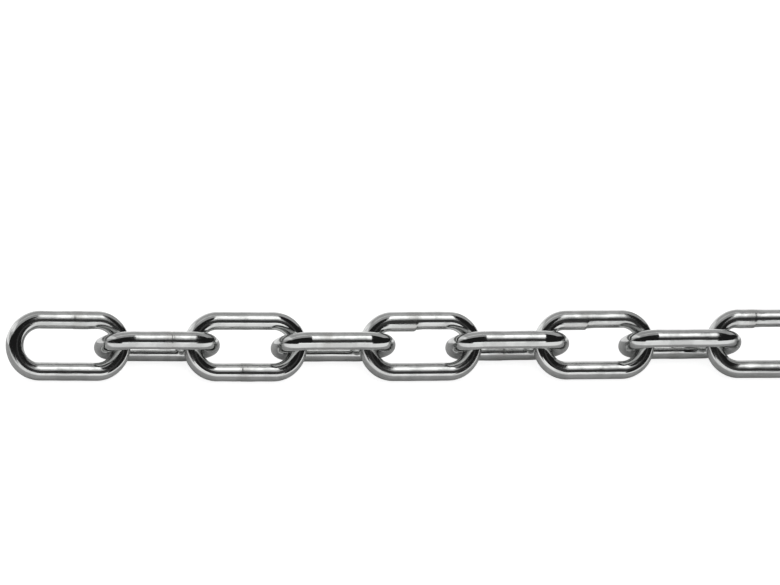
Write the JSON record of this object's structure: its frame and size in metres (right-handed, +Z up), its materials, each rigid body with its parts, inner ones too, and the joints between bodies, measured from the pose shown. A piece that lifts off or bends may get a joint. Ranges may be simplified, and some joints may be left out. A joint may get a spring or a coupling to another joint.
{
  "type": "short-link chain",
  "caption": "Straight length of bright plated, welded short-link chain whose round-wire links swing on one another.",
  "frame": {"origin": "on the floor, under the middle of the laid chain", "axes": "+X along the chain, away from the end that the picture shows; +Z up; +Y across the chain, away from the picture's viewer"},
  "size_m": [0.5032, 0.0108, 0.0115],
  "materials": {
    "bright_plating": "polished nickel-bright plating over welded iron wire"
  },
  "bodies": {
    "link_01": {"link_01": "bright_plating"},
    "link_02": {"link_02": "bright_plating"},
    "link_03": {"link_03": "bright_plating"},
    "link_04": {"link_04": "bright_plating"},
    "link_05": {"link_05": "bright_plating"},
    "link_06": {"link_06": "bright_plating"},
    "link_07": {"link_07": "bright_plating"},
    "link_08": {"link_08": "bright_plating"},
    "link_09": {"link_09": "bright_plating"},
    "link_10": {"link_10": "bright_plating"},
    "link_11": {"link_11": "bright_plating"},
    "link_12": {"link_12": "bright_plating"},
    "link_13": {"link_13": "bright_plating"},
    "link_14": {"link_14": "bright_plating"},
    "link_15": {"link_15": "bright_plating"},
    "link_16": {"link_16": "bright_plating"},
    "link_17": {"link_17": "bright_plating"},
    "link_18": {"link_18": "bright_plating"},
    "link_19": {"link_19": "bright_plating"},
    "link_20": {"link_20": "bright_plating"},
    "link_21": {"link_21": "bright_plating"},
    "link_22": {"link_22": "bright_plating"},
    "link_23": {"link_23": "bright_plating"},
    "link_24": {"link_24": "bright_plating"},
    "link_25": {"link_25": "bright_plating"},
    "link_26": {"link_26": "bright_plating"},
    "link_27": {"link_27": "bright_plating"},
    "link_28": {"link_28": "bright_plating"}
  },
  "joints": [
    {"name": "link_02_swing", "type": "hinge", "parent": "link_01", "child": "link_02", "pos_m": [-0.2281, -0.00014, 0.00568], "axis": [0.008, 0.619, 0.7853], "range_deg": [-120, 120]},
    {"name": "link_03_swing", "type": "hinge", "parent": "link_02", "child": "link_03", "pos_m": [-0.2104, -0.00033, 0.00568], "axis": [-0.0067, -0.6191, 0.7853], "range_deg": [-120, 120]},
    {"name": "link_04_swing", "type": "hinge", "parent": "link_03", "child": "link_04", "pos_m": [-0.1927, -0.00041, 0.00568], "axis": [-0.0033, -0.6191, -0.7853], "range_deg": [-120, 120]},
    {"name": "link_05_swing", "type": "hinge", "parent": "link_04", "child": "link_05", "pos_m": [-0.175, -0.00036, 0.00568], "axis": [-0.0011, 0.6191, -0.7853], "range_deg": [-120, 120]},
    {"name": "link_06_swing", "type": "hinge", "parent": "link_05", "child": "link_06", "pos_m": [-0.1573, -0.0002, 0.00568], "axis": [-0.0052, 0.6191, 0.7853], "range_deg": [-120, 120]},
    {"name": "link_07_swing", "type": "hinge", "parent": "link_06", "child": "link_07", "pos_m": [-0.1396, 0.00003, 0.00568], "axis": [0.0077, -0.619, 0.7853], "range_deg": [-120, 120]},
    {"name": "link_08_swing", "type": "hinge", "parent": "link_07", "child": "link_08", "pos_m": [-0.1219, 0.00024, 0.00568], "axis": [0.0077, -0.619, -0.7853], "range_deg": [-120, 120]},
    {"name": "link_09_swing", "type": "hinge", "parent": "link_08", "child": "link_09", "pos_m": [-0.1042, 0.00038, 0.00568], "axis": [-0.0052, 0.6191, -0.7853], "range_deg": [-120, 120]},
    {"name": "link_10_swing", "type": "hinge", "parent": "link_09", "child": "link_10", "pos_m": [-0.0865, 0.0004, 0.00568], "axis": [-0.0011, 0.6191, 0.7853], "range_deg": [-120, 120]},
    {"name": "link_11_swing", "type": "hinge", "parent": "link_10", "child": "link_11", "pos_m": [-0.0688, 0.00029, 0.00568], "axis": [-0.0033, -0.6191, 0.7853], "range_deg": [-120, 120]},
    {"name": "link_12_swing", "type": "hinge", "parent": "link_11", "child": "link_12", "pos_m": [-0.0511, 0.00009, 0.00568], "axis": [-0.0067, -0.6191, -0.7853], "range_deg": [-120, 120]},
    {"name": "link_13_swing", "type": "hinge", "parent": "link_12", "child": "link_13", "pos_m": [-0.0334, -0.00014, 0.00568], "axis": [0.008, 0.619, -0.7853], "range_deg": [-120, 120]},
    {"name": "link_14_swing", "type": "hinge", "parent": "link_13", "child": "link_14", "pos_m": [-0.0157, -0.00033, 0.00568], "axis": [0.0067, 0.6191, 0.7853], "range_deg": [-120, 120]},
    {"name": "link_15_swing", "type": "hinge", "parent": "link_14", "child": "link_15", "pos_m": [0.002, -0.00041, 0.00568], "axis": [-0.0033, -0.6191, 0.7853], "range_deg": [-120, 120]},
    {"name": "link_16_swing", "type": "hinge", "parent": "link_15", "child": "link_16", "pos_m": [0.0197, -0.00036, 0.00568], "axis": [0.0011, -0.6191, -0.7853], "range_deg": [-120, 120]},
    {"name": "link_17_swing", "type": "hinge", "parent": "link_16", "child": "link_17", "pos_m": [0.0374, -0.0002, 0.00568], "axis": [-0.0052, 0.6191, -0.7853], "range_deg": [-120, 120]},
    {"name": "link_18_swing", "type": "hinge", "parent": "link_17", "child": "link_18", "pos_m": [0.0551, 0.00003, 0.00568], "axis": [-0.0077, 0.619, 0.7853], "range_deg": [-120, 120]},
    {"name": "link_19_swing", "type": "hinge", "parent": "link_18", "child": "link_19", "pos_m": [0.0728, 0.00024, 0.00568], "axis": [0.0077, -0.619, 0.7853], "range_deg": [-120, 120]},
    {"name": "link_20_swing", "type": "hinge", "parent": "link_19", "child": "link_20", "pos_m": [0.0905, 0.00038, 0.00568], "axis": [0.0052, -0.6191, -0.7853], "range_deg": [-120, 120]},
    {"name": "link_21_swing", "type": "hinge", "parent": "link_20", "child": "link_21", "pos_m": [0.1082, 0.0004, 0.00568], "axis": [-0.0011, 0.6191, -0.7853], "range_deg": [-120, 120]},
    {"name": "link_22_swing", "type": "hinge", "parent": "link_21", "child": "link_22", "pos_m": [0.1259, 0.00029, 0.00568], "axis": [0.0033, 0.6191, 0.7853], "range_deg": [-120, 120]},
    {"name": "link_23_swing", "type": "hinge", "parent": "link_22", "child": "link_23", "pos_m": [0.1436, 0.00009, 0.00568], "axis": [-0.0067, -0.6191, 0.7853], "range_deg": [-120, 120]},
    {"name": "link_24_swing", "type": "hinge", "parent": "link_23", "child": "link_24", "pos_m": [0.1613, -0.00014, 0.00568], "axis": [-0.008, -0.619, -0.7853], "range_deg": [-120, 120]},
    {"name": "link_25_swing", "type": "hinge", "parent": "link_24", "child": "link_25", "pos_m": [0.179, -0.00033, 0.00568], "axis": [0.0067, 0.6191, -0.7853], "range_deg": [-120, 120]},
    {"name": "link_26_swing", "type": "hinge", "parent": "link_25", "child": "link_26", "pos_m": [0.1967, -0.00041, 0.00568], "axis": [0.0033, 0.6191, 0.7853], "range_deg": [-120, 120]},
    {"name": "link_27_swing", "type": "hinge", "parent": "link_26", "child": "link_27", "pos_m": [0.2144, -0.00036, 0.00568], "axis": [0.0011, -0.6191, 0.7853], "range_deg": [-120, 120]},
    {"name": "link_28_swing", "type": "hinge", "parent": "link_27", "child": "link_28", "pos_m": [0.2321, -0.0002, 0.00568], "axis": [0.0052, -0.6191, -0.7853], "range_deg": [-120, 120]}
  ]
}
